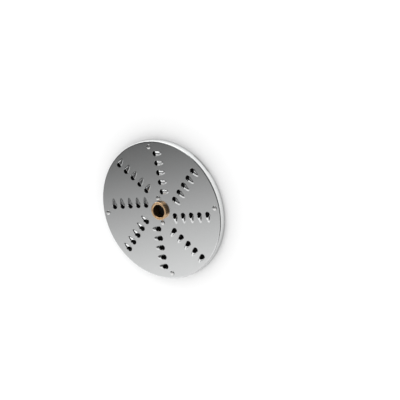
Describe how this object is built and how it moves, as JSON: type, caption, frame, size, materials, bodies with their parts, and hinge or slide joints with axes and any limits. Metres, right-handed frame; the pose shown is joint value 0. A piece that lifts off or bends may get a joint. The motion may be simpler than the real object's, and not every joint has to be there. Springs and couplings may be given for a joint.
{
  "type": "grating disc",
  "caption": "Round steel grating plate with rows of raised teeth, a turned-down skirt, a cast spider under it and a bronze hub, for a vegetable machine.",
  "frame": {"origin": "middle of the base of the bounding box: on the disc's axis, level with the lower edge of the skirt", "axes": "+Z along the disc's axis, out of the grating face; +X through one of the rim rivets"},
  "size_m": [0.205, 0.205, 0.0155],
  "materials": {
    "stainless_sheet": "smooth cold-rolled stainless sheet, satin to polished",
    "cast_aluminium": "matte as-cast aluminium",
    "bronze": "turned bearing bronze",
    "rivet_steel": "smooth stainless rivet head"
  },
  "bodies": {
    "root": {"grating_plate": "stainless_sheet", "carrier_spider": "cast_aluminium", "hub_bush": "bronze", "rim_rivet_1": "rivet_steel", "rim_rivet_2": "rivet_steel", "rim_rivet_3": "rivet_steel", "rim_rivet_4": "rivet_steel", "hub_rivet_1": "rivet_steel", "hub_rivet_2": "rivet_steel"}
  },
  "joints": []
}
